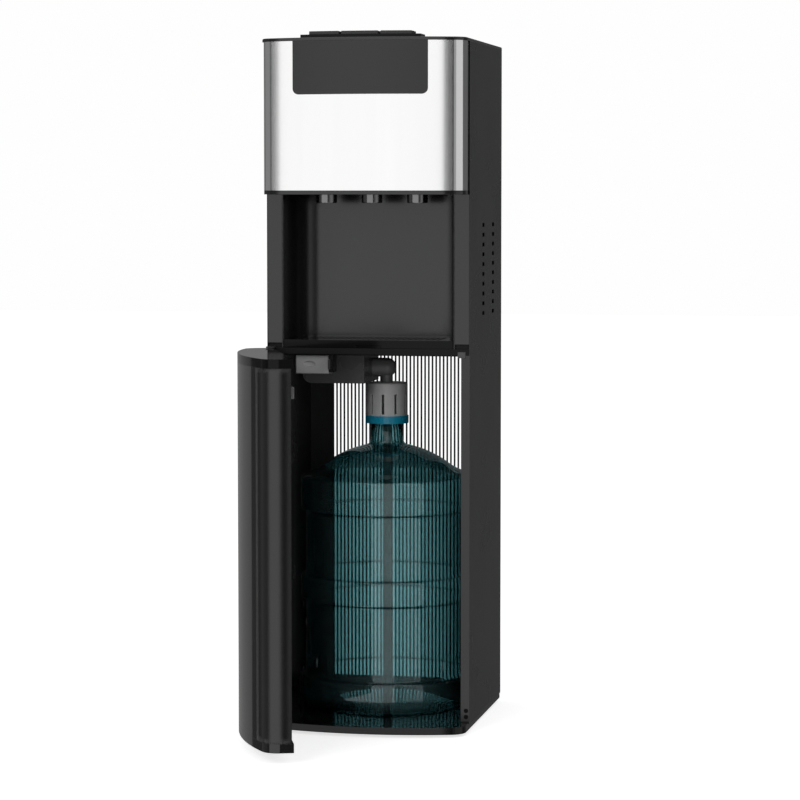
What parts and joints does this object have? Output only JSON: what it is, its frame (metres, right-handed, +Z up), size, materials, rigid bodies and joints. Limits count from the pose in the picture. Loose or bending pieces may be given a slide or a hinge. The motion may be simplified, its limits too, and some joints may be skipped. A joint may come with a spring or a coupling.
{
  "type": "water cooler",
  "caption": "Bottom load water cooler with push buttons, spouts, drip tray and a bowed hinged door that stands open on the bottle, probe and pump.",
  "frame": {"origin": "on the floor under the middle of the cabinet between the side panels", "axes": "+Z up, -Y out of the front, +X to the right seen from the front"},
  "size_m": [0.3434, 0.5972, 1.0665],
  "materials": {
    "side_paint": "satin black powder coat",
    "front_black": "glossy black plastic",
    "badge_black": "fine matt black plastic",
    "brushed_front": "bright polished steel",
    "tank_steel": "plain stainless",
    "rear_paint": "black paint",
    "zinc_sheet": "zinc plated sheet",
    "inner_plastic": "matt black plastic",
    "rocker_red": "red rocker",
    "rocker_green": "green rocker",
    "light_grey": "light grey plastic",
    "teal_plastic": "teal plastic",
    "bottle_plastic": "clear blue green plastic",
    "clear_tube": "milky tube",
    "water": "water",
    "foam": "white foam",
    "copper": "copper tube",
    "black_rubber": "black rubber",
    "valve_plastic": "white plastic"
  },
  "bodies": {
    "cabinet": {"alcove_columns": "front_black", "alcove_liner": "front_black", "base_pan": "front_black", "button_spring_left": "tank_steel", "button_spring_middle": "tank_steel", "button_spring_right": "tank_steel", "button_surround": "badge_black", "cold_tank": "tank_steel", "compartment_ceiling": "front_black", "compressor": "rear_paint", "compressor_mounts": "black_rubber", "condenser": "rear_paint", "control_badge": "badge_black", "door_switch": "inner_plastic", "drain_cap": "inner_plastic", "drinking_water": "water", "evaporator_coil": "copper", "fascia_lip": "front_black", "faucet_valves": "valve_plastic", "filter_drier": "copper", "heater_and_thermostats": "tank_steel", "hinge_brackets": "rear_paint", "hot_tank": "tank_steel", "left_side_panel": "side_paint", "levelling_feet": "black_rubber", "machine_shelves": "zinc_sheet", "post_screws": "rear_paint", "power_inlet": "inner_plastic", "probe_cap": "light_grey", "probe_elbow": "inner_plastic", "probe_holder": "light_grey", "probe_ring": "teal_plastic", "probe_tube": "clear_tube", "pump_housing": "inner_plastic", "pump_motor": "inner_plastic", "rear_grille": "rear_paint", "rear_upper_panel": "rear_paint", "right_side_panel": "side_paint", "rocker_housings": "inner_plastic", "spouts": "front_black", "steel_fascia": "brushed_front", "striker_plate": "zinc_sheet", "supply_pipe": "clear_tube", "tank_insulation": "foam", "top_lid": "front_black", "water_bottle": "bottle_plastic"},
    "door": {"door_outer_panel": "front_black", "door_edge_strip": "front_black", "door_liner": "front_black", "door_top_rail": "front_black", "door_bottom_rail": "front_black", "door_latch": "light_grey"},
    "tray": {"drip_tray": "front_black"},
    "tray_grille": {"drip_grille": "front_black"},
    "left_button": {"push_button_left": "badge_black"},
    "middle_button": {"push_button_middle": "badge_black"},
    "right_button": {"push_button_right": "badge_black"},
    "left_rocker": {"rocker_switch_left": "rocker_red"},
    "right_rocker": {"rocker_switch_right": "rocker_green"},
    "door_plunger": {"switch_plunger": "inner_plastic"}
  },
  "joints": [
    {"name": "door_swing", "type": "hinge", "parent": "cabinet", "child": "door", "pos_m": [-0.152, -0.1525, 0.3], "axis": [0, 0, -1], "range_deg": [-71, 29]},
    {"name": "tray_slide", "type": "slide", "parent": "cabinet", "child": "tray", "axis": [0, -1, 0], "range_m": [0, 0.11]},
    {"name": "grille_lift", "type": "slide", "parent": "tray", "child": "tray_grille", "axis": [0, 0, 1], "range_m": [0, 0.03]},
    {"name": "left_button_press", "type": "slide", "parent": "cabinet", "child": "left_button", "axis": [0, 0, -1], "range_m": [0, 0.004], "stiffness_N_per_m": 500, "springref_m": -0.003, "deforming": ["button_spring_left"]},
    {"name": "middle_button_press", "type": "slide", "parent": "cabinet", "child": "middle_button", "axis": [0, 0, -1], "range_m": [0, 0.004], "stiffness_N_per_m": 500, "springref_m": -0.003, "deforming": ["button_spring_middle"]},
    {"name": "right_button_press", "type": "slide", "parent": "cabinet", "child": "right_button", "axis": [0, 0, -1], "range_m": [0, 0.004], "stiffness_N_per_m": 500, "springref_m": -0.003, "deforming": ["button_spring_right"]},
    {"name": "left_rocker_tilt", "type": "hinge", "parent": "cabinet", "child": "left_rocker", "pos_m": [-0.017, 0.119, 1.022], "axis": [-1, 0, 0], "range_deg": [0, 16]},
    {"name": "right_rocker_tilt", "type": "hinge", "parent": "cabinet", "child": "right_rocker", "pos_m": [0.017, 0.119, 1.022], "axis": [-1, 0, 0], "range_deg": [0, 16]},
    {"name": "plunger_press", "type": "slide", "parent": "cabinet", "child": "door_plunger", "axis": [0, 1, 0], "range_m": [0, 0.005], "stiffness_N_per_m": 100, "springref_m": -0.002}
  ]
}
